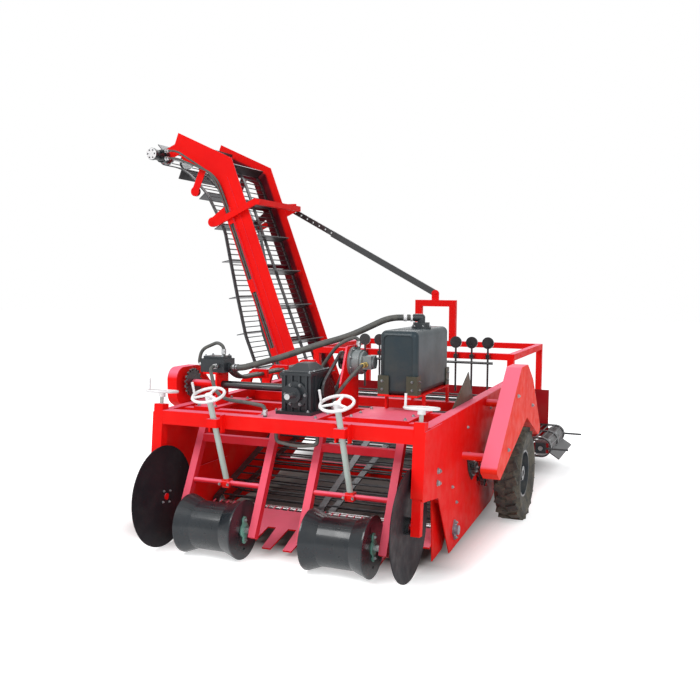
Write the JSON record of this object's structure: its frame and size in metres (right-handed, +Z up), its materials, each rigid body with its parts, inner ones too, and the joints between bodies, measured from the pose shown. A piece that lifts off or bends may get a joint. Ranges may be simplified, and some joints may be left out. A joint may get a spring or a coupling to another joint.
{
  "type": "potato harvester",
  "caption": "Towed two-row potato harvester with coulter discs, depth rollers, rod digging web, cross trough and a raised side elevator.",
  "frame": {"origin": "middle of the bounding box, on the ground", "axes": "+X to the right seen from the front, +Y to the rear, +Z up"},
  "size_m": [3.9536, 3.8492, 2.997],
  "materials": {
    "black": "satin paint",
    "cast": "painted casting",
    "hose": "rubber hose",
    "red": "gloss paint",
    "rim": "worn paint",
    "spindle": "zinc primer",
    "steel": "turned steel",
    "tyre": "moulded rubber",
    "web_steel": "worn steel",
    "white": "gloss paint"
  },
  "bodies": {
    "root": {"cross_beams": "red", "side_rails": "red", "side_walls": "red", "post_sleeves": "red", "clamp_plates": "red", "coulter_legs": "red", "roller_arms": "red", "roller_axles": "steel", "spindles": "spindle", "hand_wheels": "white", "share": "red", "share_cheeks": "red", "web_shafts": "black", "web_bearings": "black", "digging_web": "web_steel", "axle": "red", "gearbox": "cast", "pto_shaft": "steel", "drive_shaft": "black", "pump_bracket": "red", "drive_sprocket": "black", "drive_chain": "black", "oil_pump": "cast", "drive_pump": "cast", "left_chain_guard": "red", "oil_tank": "black", "tank_cap": "cast", "tank_support": "red", "right_chain_guard": "red", "chain_tensioner": "black", "rear_frame": "red", "rear_side_panels": "red", "haulm_fingers": "black", "gantry": "red", "trough_plates": "red", "trough_web": "web_steel", "tail_shaft": "black", "tail_bearings": "red", "suction_hose": "hose", "oil_hoses": "hose", "pipe_yokes": "red", "deflector": "black"},
    "wheel_left": {"tyre_left": "tyre", "rim_left": "rim"},
    "wheel_right": {"tyre_right": "tyre", "rim_right": "rim"},
    "coulter_left": {"coulter_disc_left": "black", "coulter_hub_left": "black"},
    "coulter_right": {"coulter_disc_right": "black", "coulter_hub_right": "black"},
    "roller_left": {"roller_left": "black"},
    "roller_right": {"roller_right": "black"},
    "boom": {"boom_plates": "red", "boom_web": "web_steel", "boom_shaft": "black", "boom_motor": "cast", "boom_hoses": "hose", "boom_clamp": "red"},
    "brace_lower": {"brace_lower": "black"},
    "brace_upper": {"brace_upper": "black"}
  },
  "joints": [
    {"name": "wheel_left_spin", "type": "hinge", "parent": "root", "child": "wheel_left", "pos_m": [-0.28718, -0.15665, 0.315], "axis": [1, 0, 0], "continuous": true},
    {"name": "wheel_right_spin", "type": "hinge", "parent": "root", "child": "wheel_right", "pos_m": [1.80082, -0.15665, 0.315], "axis": [1, 0, 0], "continuous": true},
    {"name": "coulter_left_spin", "type": "hinge", "parent": "root", "child": "coulter_left", "pos_m": [-0.02918, -1.61965, 0.305], "axis": [1, 0, 0], "continuous": true},
    {"name": "coulter_right_spin", "type": "hinge", "parent": "root", "child": "coulter_right", "pos_m": [1.54282, -1.61965, 0.305], "axis": [1, 0, 0], "continuous": true},
    {"name": "roller_left_spin", "type": "hinge", "parent": "root", "child": "roller_left", "pos_m": [0.35682, -1.64165, 0.171], "axis": [1, 0, 0], "continuous": true},
    {"name": "roller_right_spin", "type": "hinge", "parent": "root", "child": "roller_right", "pos_m": [1.15682, -1.64165, 0.171], "axis": [1, 0, 0], "continuous": true},
    {"name": "boom_tilt", "type": "hinge", "parent": "root", "child": "boom", "pos_m": [-0.36318, 1.45535, 0.33], "axis": [0, 1, 0], "range_deg": [-8, 6]},
    {"name": "brace_swing", "type": "hinge", "parent": "root", "child": "brace_lower", "pos_m": [0.60082, 1.88835, 1.492], "axis": [0, 1, 0], "range_deg": [-7.16, 5.5]},
    {"name": "brace_extend", "type": "slide", "parent": "brace_lower", "child": "brace_upper", "axis": [-0.8801, 0, 0.4748], "range_m": [-0.1628, 0.217]}
  ],
  "couplings": [
    {"joint": "brace_swing", "follows": "boom_tilt", "ratio": 0.83248},
    {"joint": "brace_extend", "follows": "boom_tilt", "m_per_rad": -1.4804}
  ]
}
